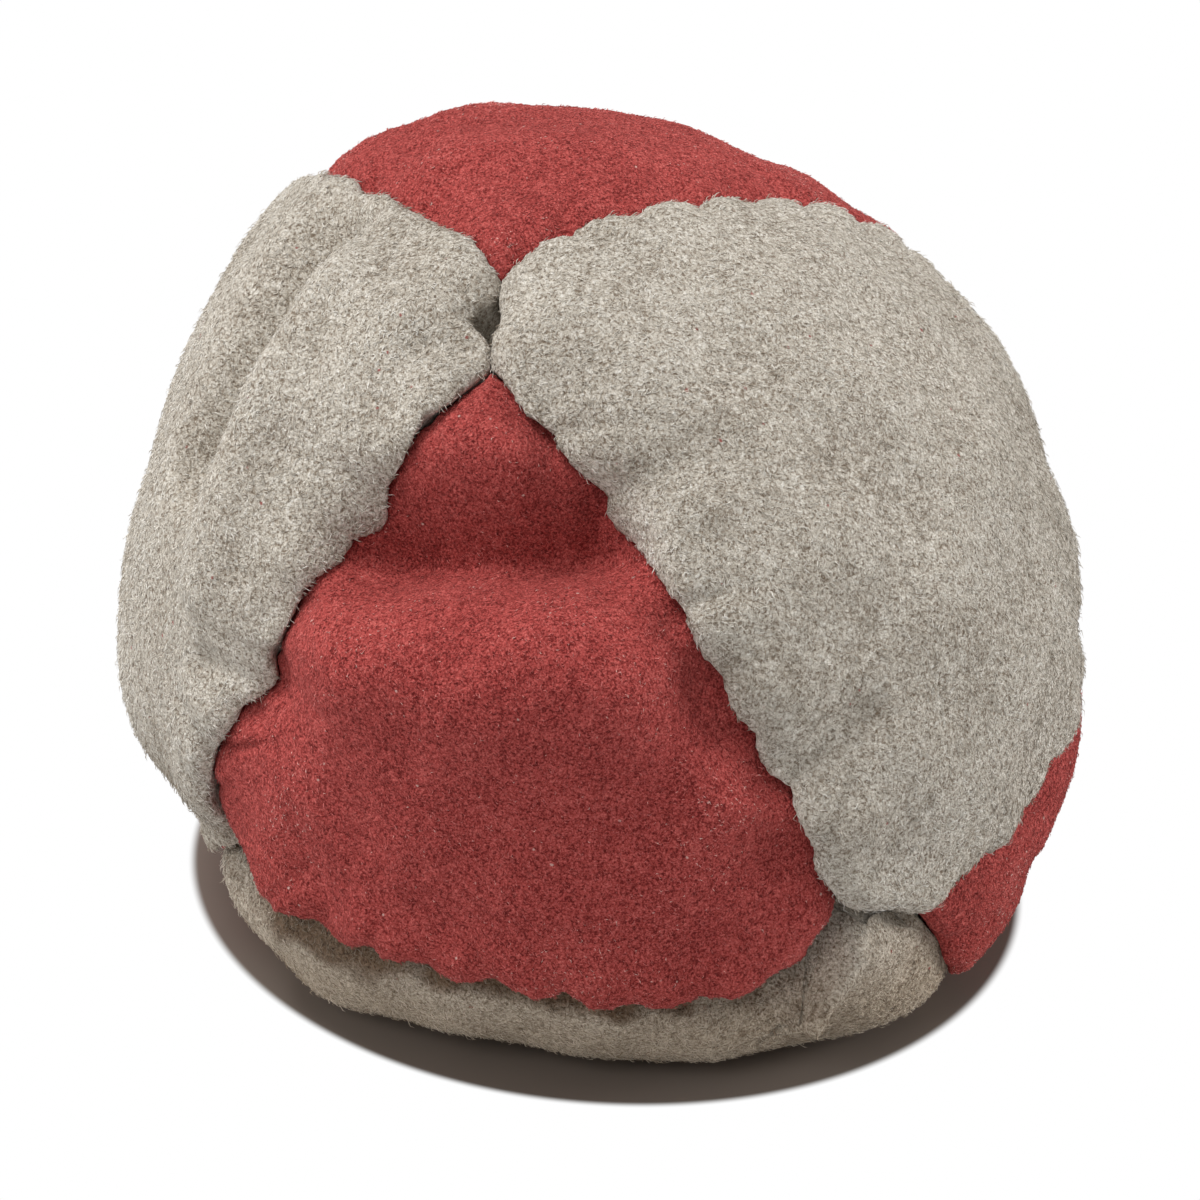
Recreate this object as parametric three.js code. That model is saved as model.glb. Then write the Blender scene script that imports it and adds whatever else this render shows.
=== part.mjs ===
import * as THREE from 'three';
import { mergeVertices } from 'three/addons/utils/BufferGeometryUtils.js';

// A footbag: a small ball of eight suede panels, four red and four grey, sewn edge to edge like the
// faces of an octahedron and filled with sand. It lies slumped on a flat underside. Each panel turns
// in at its seams, and a running stitch goes to and fro through the two turned-in edges.
// Millimetres, +Z up. The side with the big red triangle faces -Y.

// The slumped ball: half an ellipsoid above the heart and half of a flatter one below it, cut off
// flat at the floor, with its top leaning to one side.
const halfWidth = 26.2;
const halfDepth = 25.9;
const crownHeight = 29.3;
const footDrop = 22;
const heartHeight = 15;
const heartAside = 1.2;
const heartBack = -0.3;
const leanAside = -4;
const leanBack = 1.1;
const footRounding = 4;
const leanPower = 1.5;

// Broad swellings and hollows of the sand, each centred on an azimuth and elevation in degrees. What
// each rises or falls at its centre is a share of the half width, and its spread is in degrees.
const swellings = [
  { azimuth: 188, elevation: 0, riseShare: 0.023, spread: 20 },
  { azimuth: 176, elevation: 28, riseShare: -0.038, spread: 20 },
  { azimuth: 138, elevation: 60, riseShare: 0.042, spread: 20 },
  { azimuth: 15, elevation: 42, riseShare: 0.03, spread: 20 },
  { azimuth: 350, elevation: -8, riseShare: -0.027, spread: 22 },
  { azimuth: 320, elevation: -34, riseShare: 0.038, spread: 18 },
];

// Suede and how it is sewn. The turned-in edges are the seam allowance. A red panel's tips stop short
// of the corner points, so that the two grey panels meet there in a short join, which gapes a little.
const suedeThickness = 0.8;
const seamAllowance = 3;
const seamGap = 0.3;
const grooveDepth = 1.3;
const shoulderReach = 2.6;
const panelRise = 1;
const crownPower = 2;
const tipSetback = 2.8;
const tipBlunting = 0.25;
const joinGape = 0.5;

// Sewing thread. It runs along the inner faces of the turned-in edges and crosses from one to the
// other through a punched hole at each stitch.
const threadDiameter = 0.5;
const threadSides = 5;
const threadClearance = 0.3;
const threadTail = 1;
const stitchPitch = 3.9;
const stitchPull = 0.35;
const stitchDrop = 1.4;
const tipMargin = 4.2;

// Sand, held off everything that it fills round.
const sandClearance = 0.35;

// Lateral distances from the middle of a seam, and depths below the body's skin, that follow.
const outerFace = seamGap / 2;
const innerFace = outerFace + suedeThickness;
const threadLine = innerFace + threadClearance + threadDiameter / 2;
const sandWall = threadLine + threadDiameter / 2 + threadClearance;
const edgeDepth = grooveDepth + seamAllowance;
const stitchDepth = grooveDepth + stitchDrop;
const holeSize = threadDiameter + 2 * threadClearance;

// The six points where four panels come together, as azimuth (0 is +X, 90 is +Y) and elevation
// about the heart, in degrees.
const corners = {
  near: direction(254, 67),
  left: direction(209, -15),
  right: direction(305, -10),
  far: direction(50, -60),
  far_right: direction(31, 20),
  far_left: direction(128, 14),
};

// Each seam joins a red panel to a grey one. The bend, in degrees, is how far its middle bows to the
// left of the way from its first corner to its second, seen from outside.
const seams = [
  { ends: ['near', 'left'], bend: -2 },
  { ends: ['near', 'right'], bend: 0 },
  { ends: ['left', 'right'], bend: -11 },
  { ends: ['near', 'far_left'], bend: 0 },
  { ends: ['near', 'far_right'], bend: 1 },
  { ends: ['far_left', 'far_right'], bend: 0 },
  { ends: ['right', 'far_right'], bend: -2 },
  { ends: ['right', 'far'], bend: 0 },
  { ends: ['far', 'far_right'], bend: 0 },
  { ends: ['left', 'far'], bend: 0 },
  { ends: ['left', 'far_left'], bend: 0 },
  { ends: ['far', 'far_left'], bend: 0 },
];

const panels = [
  { name: 'upper_front_panel', corners: ['near', 'left', 'right'], red: true },
  { name: 'upper_right_panel', corners: ['near', 'right', 'far_right'], red: false },
  { name: 'upper_back_panel', corners: ['near', 'far_right', 'far_left'], red: true },
  { name: 'upper_left_panel', corners: ['near', 'far_left', 'left'], red: false },
  { name: 'lower_front_panel', corners: ['left', 'far', 'right'], red: false },
  { name: 'lower_right_panel', corners: ['right', 'far', 'far_right'], red: true },
  { name: 'lower_back_panel', corners: ['far_right', 'far', 'far_left'], red: false },
  { name: 'lower_left_panel', corners: ['far_left', 'far', 'left'], red: true },
];

// Rings of a panel, as shares of the way from its border to its centre, and how many border points
// each of them takes one of. The sand under the panel has the same rings.
const crownRings = [
  { share: 0.34, every: 2 },
  { share: 0.56, every: 4 },
  { share: 0.79, every: 8 },
];
const skinRings = [
  { share: 0.4, every: 4 },
  { share: 0.7, every: 8 },
];

// Steps in which a seam is measured.
const measuringSteps = 24;

const redSuede = new THREE.MeshStandardMaterial({ color: 0xa64946, roughness: 0.95, metalness: 0 });
const greySuede = new THREE.MeshStandardMaterial({ color: 0xaca497, roughness: 0.95, metalness: 0 });
const threadFinish = new THREE.MeshStandardMaterial({ color: 0x7c2f2c, roughness: 0.7, metalness: 0 });
const sandFinish = new THREE.MeshStandardMaterial({ color: 0xb9a37c, roughness: 0.9, metalness: 0 });

// The unit vector at an azimuth and elevation in degrees.
function direction(azimuth, elevation) {
  const across = Math.cos(THREE.MathUtils.degToRad(elevation));
  const turn = THREE.MathUtils.degToRad(azimuth);
  const up = Math.sin(THREE.MathUtils.degToRad(elevation));
  return new THREE.Vector3(across * Math.cos(turn), across * Math.sin(turn), up);
}

// How far the ball's skin lies from the heart in a direction, before the floor flattens it.
function reach(toward) {
  const vertical = toward.z > 0 ? crownHeight : footDrop;
  let length = 1 / Math.hypot(toward.x / halfWidth, toward.y / halfDepth, toward.z / vertical);
  for (const { azimuth, elevation, riseShare, spread } of swellings) {
    const away = toward.angleTo(direction(azimuth, elevation)) / THREE.MathUtils.degToRad(spread);
    length += riseShare * halfWidth * Math.exp(-away * away);
  }
  return length;
}

// The point at a depth below the skin in a direction. The floor and a smooth turn-up at its rim take
// over low down, and the lean grows with height.
function place(toward, depth) {
  const length = reach(toward) - depth;
  const height = heartHeight + toward.z * length;
  const floor = Math.max(depth, 0);
  const blend = Math.max(footRounding - Math.abs(height - floor), 0);
  const z = Math.max(height, floor) + (blend * blend) / (4 * footRounding);
  const lean = Math.max(z / (heartHeight + crownHeight), 0) ** leanPower;
  const x = heartAside + toward.x * length + leanAside * lean;
  const y = heartBack + toward.y * length + leanBack * lean;
  return new THREE.Vector3(x, y, z);
}

// The direction a share of the way along the great circle from one direction to another, bowed out
// sideways by a bend in degrees at its middle.
function between(from, to, share, bend = 0) {
  const angle = from.angleTo(to);
  const start = from.clone().multiplyScalar(Math.sin((1 - share) * angle) / Math.sin(angle));
  const end = to.clone().multiplyScalar(Math.sin(share * angle) / Math.sin(angle));
  const side = new THREE.Vector3().crossVectors(from, to).normalize();
  const bow = Math.sin(Math.PI * share) * THREE.MathUtils.degToRad(bend);
  return start.add(end).addScaledVector(side, bow).normalize();
}

// The direction reached by stepping a distance along the skin from one direction towards another.
function stepTowards(from, to, distance) {
  return between(from, to, distance / reach(from) / from.angleTo(to));
}

// The direction of a panel's middle.
function panelCentre(panel) {
  const sum = new THREE.Vector3();
  for (const corner of panel.corners) sum.add(corners[corner]);
  return sum.normalize();
}

// Where a red panel's tip lies near a corner point.
function tip(corner, redPanel) {
  return stepTowards(corners[corner], panelCentre(redPanel), tipSetback);
}

// Measures a line of directions along the skin.
function lengthAlongSkin(line) {
  let length = 0;
  for (let i = 1; i < line.length; i++) length += place(line[i - 1], 0).distanceTo(place(line[i], 0));
  return length;
}

// Gives each seam its stations, from one tip to the other. The odd ones are its stitches, evenly
// spaced between the margins at its tips. The even ones are the tips and the places half a pitch
// before and after each stitch.
function layOutSeam(seam) {
  const isSewnTo = (panel) => seam.ends.every((end) => panel.corners.includes(end));
  const redPanel = panels.find((panel) => panel.red && isSewnTo(panel));
  const [start, end] = seam.ends.map((corner) => tip(corner, redPanel));
  const along = (share) => between(start, end, share, seam.bend);
  const line = Array.from({ length: measuringSteps + 1 }, (_, i) => along(i / measuringSteps));
  const length = lengthAlongSkin(line);
  const sewn = length - 2 * tipMargin;
  const pitches = Math.max(Math.round(sewn / stitchPitch), 1);
  const half = sewn / pitches / 2;
  const last = 2 * pitches + 4;
  seam.stations = [{ toward: start, index: 0 }];
  for (let index = 2; index <= last; index++) {
    const toward = along((tipMargin + (index - 3) * half) / length);
    seam.stations.push({ toward, index, stitched: index % 2 === 1 });
  }
  seam.stations.push({ toward: end, index: last + 2 });
  seam.stations.forEach((station, i) => {
    const before = seam.stations[Math.max(i - 1, 0)].toward;
    const after = seam.stations[Math.min(i + 1, seam.stations.length - 1)].toward;
    station.left = new THREE.Vector3().crossVectors(before, after).normalize();
  });
}

// The direction beside a station, a distance to the left of the seam seen from outside and a
// distance on along it.
function beside({ toward, left }, distance, onward = 0) {
  const forward = new THREE.Vector3().crossVectors(left, toward);
  const sideways = toward.clone().addScaledVector(left, distance / reach(toward));
  return sideways.addScaledVector(forward, onward / reach(toward)).normalize();
}

// The closed border of a panel, counterclockwise from outside: its three seams and, on a grey panel,
// the short joins between their ends. Each point has how far it is cut back from its seam.
function panelBorder(panel) {
  const border = [];
  panel.corners.forEach((corner, i) => {
    const nextCorner = panel.corners[(i + 1) % 3];
    const lastCorner = panel.corners[(i + 2) % 3];
    const stations = seamStations(corner, nextCorner);
    const start = { ...stations[0], cut: tipBlunting };
    border.push(start, ...stations.slice(1, -1));
    if (panel.red) return;
    const from = stations.at(-1);
    const to = seamStations(nextCorner, lastCorner)[0];
    border.push({ ...from, cut: tipBlunting });
    border.push({ toward: between(from.toward, to.toward, 1 / 2), cut: joinGape, index: 2 });
  });
  return border;
}

// The stations of the seam between two corners, in the order from the first to the second, with
// their left sides turned to suit.
function seamStations(from, to) {
  const seam = seams.find(({ ends }) => ends.includes(from) && ends.includes(to));
  if (seam.ends[0] === from) return seam.stations;
  return seam.stations.toReversed().map((station) => ({ ...station, left: station.left.clone().negate() }));
}

// For each border point, how much of the way to the panel's centre moves it one unit of length away
// from its seam. Where two seams meet, the larger of the two amounts keeps it clear of both.
function insetShares(border, centre) {
  return border.map(({ toward }, i) => {
    const before = border.at(i - 1).toward;
    const after = border[(i + 1) % border.length].toward;
    const ray = centre.clone().addScaledVector(toward, -toward.dot(centre)).normalize();
    const shares = [toward.clone().sub(before), after.clone().sub(toward)].map((edge) => {
      const sine = new THREE.Vector3().crossVectors(edge.normalize(), ray).length();
      return 1 / (reach(toward) * toward.angleTo(centre) * sine);
    });
    return Math.max(...shares);
  });
}

// A panel ready to make rings from.
function layOutPanel(panel) {
  const centre = panelCentre(panel);
  const border = panelBorder(panel);
  return { centre, border, insets: insetShares(border, centre) };
}

// One ring of points round a panel, either a distance in from its seams or a share of the way to its
// centre. The depth is a number or a function of the border point.
function ring(layout, { distance = 0, share = 0, every = 1, depth }) {
  const points = [];
  layout.border.forEach((station, i) => {
    if (station.index % every !== 0) return;
    const inset = distance > 0 ? layout.insets[i] * (distance + (station.cut ?? 0)) : 0;
    const inward = Math.max(share, inset);
    const toward = inward > 0 ? between(station.toward, layout.centre, inward) : station.toward;
    points.push({ at: i, point: place(toward, typeof depth === 'function' ? depth(station) : depth) });
  });
  return points;
}

// The rings over a panel's middle, at a depth below its crown. The crown stands above the skin more
// and more from the border to the centre.
function crownedRings(layout, rings, depth) {
  return rings.map(({ share, every }) => {
    const rise = panelRise * (1 - (1 - share) ** crownPower);
    return ring(layout, { share, every, depth: depth - rise });
  });
}

// The triangles between two rings, of which the first lies to the right of the way round. Rings with
// different numbers of points are zipped together in the order of their border points.
function zip(right, left) {
  const triangles = [];
  let i = 0;
  let j = 0;
  const turns = (points, k) => (k < points.length ? points[k].at : Infinity);
  while (i < right.length || j < left.length) {
    const a = right[i % right.length].point;
    const b = left[j % left.length].point;
    const rightIsNext = turns(right, i + 1) <= turns(left, j + 1);
    if (j >= left.length || (i < right.length && rightIsNext)) {
      i += 1;
      triangles.push([a, right[i % right.length].point, b]);
    } else {
      j += 1;
      triangles.push([a, left[j % left.length].point, b]);
    }
  }
  return triangles;
}

// The triangles of a whole face: its rings from the border inward, and a fan to its middle point.
function face(rings, middle) {
  const triangles = [];
  for (let k = 1; k < rings.length; k++) triangles.push(...zip(rings[k - 1], rings[k]));
  const last = rings.at(-1);
  last.forEach(({ point }, i) => triangles.push([point, last[(i + 1) % last.length].point, middle]));
  return triangles;
}

function flipped(triangles) {
  return triangles.map(([a, b, c]) => [a, c, b]);
}

// A closed geometry from triangles of points, with shared points merged.
function toGeometry(triangles) {
  const geometry = new THREE.BufferGeometry().setFromPoints(triangles.flat());
  return mergeVertices(geometry, 0);
}

// The distance in from the seam and the depth of a point on the rolled shoulder, at a share of its
// quarter turn. The lining lies one thickness inside the outer face.
function shoulderPoint(turnShare, thickness) {
  const turn = (turnShare * Math.PI) / 2;
  const across = shoulderReach - outerFace - thickness;
  const fall = Math.max(grooveDepth - thickness, 0);
  return {
    distance: outerFace + thickness + across * (1 - Math.cos(turn)),
    drop: grooveDepth - fall * Math.sin(turn),
  };
}

// The four corners of a stitch hole in the turned-in edge, at a distance in from the seam.
function holeCorners(station, distance) {
  const half = holeSize / 2;
  const corner = (onward, deeper) => place(beside(station, distance, onward), stitchDepth + deeper);
  return [corner(-half, -half), corner(half, -half), corner(half, half), corner(-half, half)];
}

// One side of the turned-in edge, between two rings, with the opening of a stitch hole in each part
// that holds a stitch. The corners of an opening start at the ring on the right.
function punchedSide(layout, right, left, openingAt) {
  return right.flatMap(({ at, point }, i) => {
    const next = (i + 1) % right.length;
    const frame = [point, right[next].point, left[next].point, left[i].point];
    const stitch = layout.border[at + 1];
    if (!stitch?.stitched) return [[frame[0], frame[1], frame[2]], [frame[0], frame[2], frame[3]]];
    return ringWall(frame, openingAt(stitch));
  });
}

// The triangles between two loops of as many corners.
function ringWall(outer, inner) {
  return outer.flatMap((corner, k) => {
    const next = (k + 1) % outer.length;
    return [[corner, outer[next], inner[next]], [corner, inner[next], inner[k]]];
  });
}

// One panel: its crowned face and rolled shoulder, drawn in at each stitch, its lining, and the
// turned-in edge with its stitch holes.
function buildPanel(panel) {
  const layout = layOutPanel(panel);
  const roll = shoulderPoint(1 / 2, 0);
  const rollDepth = ({ stitched }) => roll.drop + (stitched ? stitchPull : 0);
  const liningRoll = shoulderPoint(1, suedeThickness);
  const outerGroove = ring(layout, { distance: outerFace, every: 2, depth: grooveDepth });
  const outerEdge = ring(layout, { distance: outerFace, every: 2, depth: edgeDepth });
  const innerEdge = ring(layout, { distance: innerFace, every: 2, depth: edgeDepth });
  const innerGroove = ring(layout, { distance: innerFace, every: 2, depth: grooveDepth });
  const outside = face([
    outerGroove,
    ring(layout, { distance: roll.distance, depth: rollDepth }),
    ring(layout, { distance: shoulderReach, every: 2, depth: 0 }),
    ...crownedRings(layout, crownRings, 0),
  ], place(layout.centre, -panelRise));
  const lining = face([
    innerGroove,
    ring(layout, { distance: liningRoll.distance, every: 2, depth: liningRoll.drop }),
    ...crownedRings(layout, skinRings, suedeThickness),
  ], place(layout.centre, suedeThickness - panelRise));
  const walls = layout.border.filter(({ stitched }) => stitched).flatMap((stitch) => (
    ringWall(holeCorners(stitch, innerFace), holeCorners(stitch, outerFace))
  ));
  return toGeometry([
    ...outside,
    ...flipped(lining),
    ...punchedSide(layout, innerGroove, innerEdge, (stitch) => holeCorners(stitch, innerFace)),
    ...zip(innerEdge, outerEdge),
    ...punchedSide(layout, outerEdge, outerGroove, (stitch) => holeCorners(stitch, outerFace).reverse()),
    ...walls,
  ]);
}

// A tube along a line of straight runs, mitred at each turn. Its sections keep one side up. Each
// section of the run that comes in is slid along that run onto the mitre's plane.
function mitredTube(path, ups, diameter, sides) {
  const rings = path.map((point, i) => {
    const before = point.clone().sub(path[Math.max(i - 1, 0)]).normalize();
    const after = path[Math.min(i + 1, path.length - 1)].clone().sub(point).normalize();
    const run = i === 0 ? after : before;
    const mitre = before.clone().add(after).normalize();
    const sideways = new THREE.Vector3().crossVectors(run, ups[i]).normalize();
    const up = new THREE.Vector3().crossVectors(sideways, run);
    return Array.from({ length: sides }, (_, k) => {
      const angle = (2 * Math.PI * k) / sides;
      const side = up.clone().multiplyScalar(Math.cos(angle)).addScaledVector(sideways, Math.sin(angle));
      side.addScaledVector(run, -side.dot(mitre) / run.dot(mitre));
      return { at: k, point: point.clone().addScaledVector(side, diameter / 2) };
    });
  });
  return toGeometry([...flipped(face([rings[0]], path[0])), ...face(rings, path.at(-1))]);
}

// One seam's running stitch. It starts with a tail to the left of the first hole.
function buildThread(seam) {
  const path = [];
  const ups = [];
  const add = (toward) => {
    path.push(place(toward, stitchDepth));
    ups.push(toward);
  };
  const tail = (station, tipStation, side) => {
    const here = beside(station, side * threadLine);
    return stepTowards(here, beside(tipStation, side * threadLine), threadTail);
  };
  const stitches = seam.stations.filter(({ stitched }) => stitched);
  let side = 1;
  add(tail(stitches[0], seam.stations[0], side));
  for (const station of stitches) {
    add(beside(station, side * threadLine));
    side = -side;
    add(beside(station, side * threadLine));
  }
  add(tail(stitches.at(-1), seam.stations.at(-1), side));
  return mitredTube(path, ups, threadDiameter, threadSides);
}

// The sand fills the bag up to the suede. It stands in a channel under each seam, clear of the
// turned-in edges and the thread.
function buildSand() {
  const floor = edgeDepth + sandClearance;
  const skin = suedeThickness + sandClearance;
  return toGeometry(panels.flatMap((panel) => {
    const layout = layOutPanel(panel);
    return face([
      ring(layout, { every: 2, depth: floor }),
      ring(layout, { distance: sandWall, every: 2, depth: floor }),
      ring(layout, { distance: Math.max(shoulderReach, sandWall), every: 2, depth: skin }),
      ...crownedRings(layout, skinRings, skin),
    ], place(layout.centre, skin - panelRise));
  }));
}

function namedMesh(name, geometry, material) {
  const mesh = new THREE.Mesh(geometry, material);
  mesh.name = name;
  return mesh;
}

seams.forEach(layOutSeam);

const footbag = new THREE.Group();
for (const panel of panels) {
  footbag.add(namedMesh(panel.name, buildPanel(panel), panel.red ? redSuede : greySuede));
}
for (const seam of seams) {
  footbag.add(namedMesh(`${seam.ends.join('_')}_thread`, buildThread(seam), threadFinish));
}
footbag.add(namedMesh('sand_fill', buildSand(), sandFinish));

export default footbag;
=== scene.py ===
import bmesh
import bpy
import numpy as np
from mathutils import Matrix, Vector


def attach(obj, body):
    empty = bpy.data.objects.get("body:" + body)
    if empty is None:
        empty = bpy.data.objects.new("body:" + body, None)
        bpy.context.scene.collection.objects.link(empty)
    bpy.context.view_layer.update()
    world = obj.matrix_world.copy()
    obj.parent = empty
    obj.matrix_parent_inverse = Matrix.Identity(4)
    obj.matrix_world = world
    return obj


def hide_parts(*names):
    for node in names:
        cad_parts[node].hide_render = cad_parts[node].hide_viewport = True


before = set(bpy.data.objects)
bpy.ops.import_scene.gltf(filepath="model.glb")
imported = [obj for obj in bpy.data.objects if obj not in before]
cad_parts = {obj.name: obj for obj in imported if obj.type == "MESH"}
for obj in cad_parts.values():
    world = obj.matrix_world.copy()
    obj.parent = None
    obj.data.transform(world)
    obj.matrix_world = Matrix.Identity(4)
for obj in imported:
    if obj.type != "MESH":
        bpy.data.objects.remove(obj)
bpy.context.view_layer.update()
bpy.ops.object.select_all(action="DESELECT")


# The slumped ball
# The sewn cover is a ball that has slumped on its loose sand. Its skin is the line of the seams, and
# every point is given by a direction from the ball's heart and a depth below the skin, in millimetres.
half_width = 26.2
half_depth = 25.9
crown_height = 29.3
foot_drop = 22
heart_height = 15
heart_aside = 1.2
heart_back = -0.3
lean_aside = -4
lean_back = 1.1
foot_rounding = 4
lean_power = 1.5
heart = np.array([heart_aside, heart_back, heart_height])

# Broad swellings of the sand: azimuth and elevation in degrees, rise, and spread in degrees.
swellings = [
    (188, 2, -0.05, 20),
    (176, 28, -1.3, 20),
    (142, 61, 0.9, 17),
    (152, 45, 0.35, 7),
    (163, 54, -0.6, 11),
    (100, 62, -0.35, 13),
    (28, 46, 0.75, 9),
    (42, 57, -0.4, 7),
    (5, 10, -1.1, 15),
    (350, -8, -0.5, 20),
    (320, -34, 0.8, 18),
    (198, -24, -1.9, 14),
    (218, -30, 0.8, 9),
    (211, -19, 0.9, 7),
    (253, -34, -0.9, 16),
]

# A fold has died out this many widths from its way.
fold_margin = 3

# Folds and dents in the suede: the way each takes, as azimuths and elevations, its rise and its width.
folds = [
    ([(240, 38.5), (248, 39.5), (260.5, 41), (271, 42)], -3.8, 2.8),
    ([(234, 36), (237, 37), (248, 38), (260.5, 39.5), (276, 41)], -0.9, 1.2),
    ([(248, 51.5), (254, 52), (260, 52)], 1.2, 2.2),
    ([(243, 23), (253, 25.5), (267, 26.5)], 2.7, 4.7),
    ([(224, 17.5), (238, 18.5), (247, 19.5)], -0.45, 2.2),
    ([(204, -9), (218, -9.5)], -0.9, 1.6),
    ([(266, 55), (276, 46)], -0.8, 1.8),
    ([(236.5, 5.5), (238, -2), (239.5, -7.5)], 0.35, 1.8),
    ([(231, 2), (234, -8.5)], -0.4, 1.6),
    ([(283, 24), (288.5, 15.5)], -0.7, 2.0),
    ([(286.5, 5), (290, 4)], -0.5, 1.8),
    ([(187, 65), (192, 61), (197, 56), (200, 50), (201.5, 43), (202, 36)], -3.8, 1.8),
    ([(213, 63), (211, 59), (211, 53), (213, 45), (214, 36), (215, 26)], 0.8, 1.9),
    ([(222.5, 44), (234, 43)], -0.5, 2.0),
    ([(216.5, 17.5), (226.5, 18.5)], -0.9, 1.1),
    ([(225.5, 25.5), (232.5, 32)], -0.5, 1.1),
    ([(240, 60.5), (248, 61.5)], -0.7, 0.8),
    ([(281.5, 46.5), (288, 48.7), (295.5, 49.5)], -0.6, 1.4),
    ([(284, 42.5), (291, 44)], 0.35, 1.4),
    ([(293, 15.5), (303.5, 18.5)], -0.8, 1.4),
    ([(292, 7), (300, 7)], 0.5, 1.5),
    ([(316, 69), (302.5, 58.5)], -0.25, 1.3),
    ([(303, 73.5), (291, 63)], -0.25, 1.3),
    ([(299.6, -10), (298.5, -12), (296.5, -15), (293, -20)], 1.9, 0.95),
    ([(293, -20), (290.5, -24)], 0.5, 1.0),
    ([(294.5, -11), (290, -15), (284, -20)], -1.2, 1.5),
    ([(174, 72), (156, 74)], -0.4, 1.1),
    ([(198.5, 76.5), (179, 79.5)], -0.5, 1.0),
    ([(44, 34), (56, 44), (70, 46)], -0.9, 2.2),
    ([(92, 28), (112, 33), (125, 30)], -0.9, 2.2),
    ([(66, -10), (84, -20)], 0.7, 1.8),
    ([(150, -6), (168, -13)], -0.6, 1.8),
    ([(80, 58), (110, 62)], 0.5, 2.2),
    ([(330, -16), (348, -22)], -0.5, 1.6),
]


def direction(azimuth, elevation):
    turn, lift = np.radians(azimuth), np.radians(elevation)
    return np.array([np.cos(lift) * np.cos(turn), np.cos(lift) * np.sin(turn), np.sin(lift)])


def unit(vectors):
    return vectors / np.linalg.norm(vectors, axis=-1, keepdims=True)


def hump(away, width, middle=0.0):
    """A smooth hump that is 1 at its middle and dies out over three widths."""
    return np.exp(-((away - middle) / width) ** 2)


def reach(toward):
    """How far the skin lies from the heart in each direction, before the floor flattens it."""
    vertical = np.where(toward[..., 2] > 0, crown_height, foot_drop)
    radii = np.stack([np.full_like(vertical, half_width), np.full_like(vertical, half_depth), vertical], -1)
    length = np.array(1 / np.linalg.norm(toward / radii, axis=-1))
    for azimuth, elevation, rise, spread in swellings:
        away = np.arccos(np.clip(toward @ direction(azimuth, elevation), -1, 1))
        length += rise * hump(away, np.radians(spread))
    for way, rise, width in folds:
        stops = np.array([direction(*stop) for stop in way])
        middle = unit(stops.mean(0))
        margin = (stops @ middle).min() - fold_margin * width / half_width
        close = toward @ middle > margin
        if not close.any():
            continue
        away = np.full(close.sum(), np.inf)
        for first, step in zip(stops, np.diff(stops, axis=0)):
            share = np.clip((toward[close] - first) @ step / np.sum(step ** 2), 0, 1)
            away = np.minimum(away, np.linalg.norm(toward[close] - first - share[:, None] * step, axis=-1))
        length[close] += rise * hump(away * half_width, width)
    return length


def place(toward, depth):
    """The points at a depth below the skin. The floor flattens the foot, and the top leans aside."""
    length = reach(toward) - depth
    height = heart_height + toward[..., 2] * length
    floor = np.maximum(depth, 0)
    blend = np.maximum(foot_rounding - np.abs(height - floor), 0)
    z = np.maximum(height, floor) + blend ** 2 / (4 * foot_rounding)
    lean = np.maximum(z / (heart_height + crown_height), 0) ** lean_power
    x = heart_aside + toward[..., 0] * length + lean_aside * lean
    y = heart_back + toward[..., 1] * length + lean_back * lean
    return np.stack([x, y, z], -1)


def between(start, end, share, bends=()):
    """Directions along the great circle from start to end, bent sideways in one, two and more half waves."""
    share = np.asarray(share, float)[..., None]
    angle = np.arccos(np.clip(np.sum(start * end, -1, keepdims=True), -1, 1))
    line = (np.sin((1 - share) * angle) * start + np.sin(share * angle) * end) / np.sin(angle)
    side = unit(np.cross(start, end))
    aside = sum(np.radians(bend) * np.sin(np.pi * share * halves) for halves, bend in enumerate(bends, 1))
    return unit(line + side * aside)


# The seams
# Twelve hand-width seams, each with a row of running stitches, join a red panel to a grey one. At the
# six corner points the red tips are set back, so that two grey panels meet there in a short join.
seam_gap = 0.3
suede_thickness = 0.8
seam_allowance = 3
groove_depth = 0.8
mouth_face = 0.02
tip_setback = 2.8
left_tip_setback = 0.9
tip_margin = 4.2
stitch_pitch = 3.9
fold_depth = 1.3
stitch_drop = 1.4
thread_diameter = 0.5
thread_clearance = 0.3
outer_face = seam_gap / 2
inner_face = outer_face + suede_thickness
edge_depth = fold_depth + seam_allowance
stitch_depth = fold_depth + stitch_drop
thread_line = inner_face + thread_clearance + thread_diameter / 2
hole_size = thread_diameter + 2 * thread_clearance
seam_steps = 112
join_steps = 16

# By how much the stitches differ: how hard each pulls, how far in mm its crease runs and at what slope,
# and how full the suede is between one and the next.
pull_range = (0.15, 1.2)
crease_range = (1.4, 3.4)
tilt_range = (-0.12, 0.12)
fullness_range = (0.3, 1.2)

# The six corner points, as azimuths and elevations.
corners = {
    "near": direction(253.5, 66.2),
    "left": direction(207.5, -14),
    "right": direction(302.8, -7.4),
    "far": direction(50, -60),
    "far_right": direction(31, 20),
    "far_left": direction(132, 13),
}

# Corners in counterclockwise order from outside, and whether the panel is red.
panels = {
    "upper_front_panel": (("near", "left", "right"), True),
    "upper_right_panel": (("near", "right", "far_right"), False),
    "upper_back_panel": (("near", "far_right", "far_left"), True),
    "upper_left_panel": (("near", "far_left", "left"), False),
    "lower_front_panel": (("left", "far", "right"), False),
    "lower_right_panel": (("right", "far", "far_right"), True),
    "lower_back_panel": (("far_right", "far", "far_left"), False),
    "lower_left_panel": (("far_left", "far", "left"), True),
}

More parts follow.
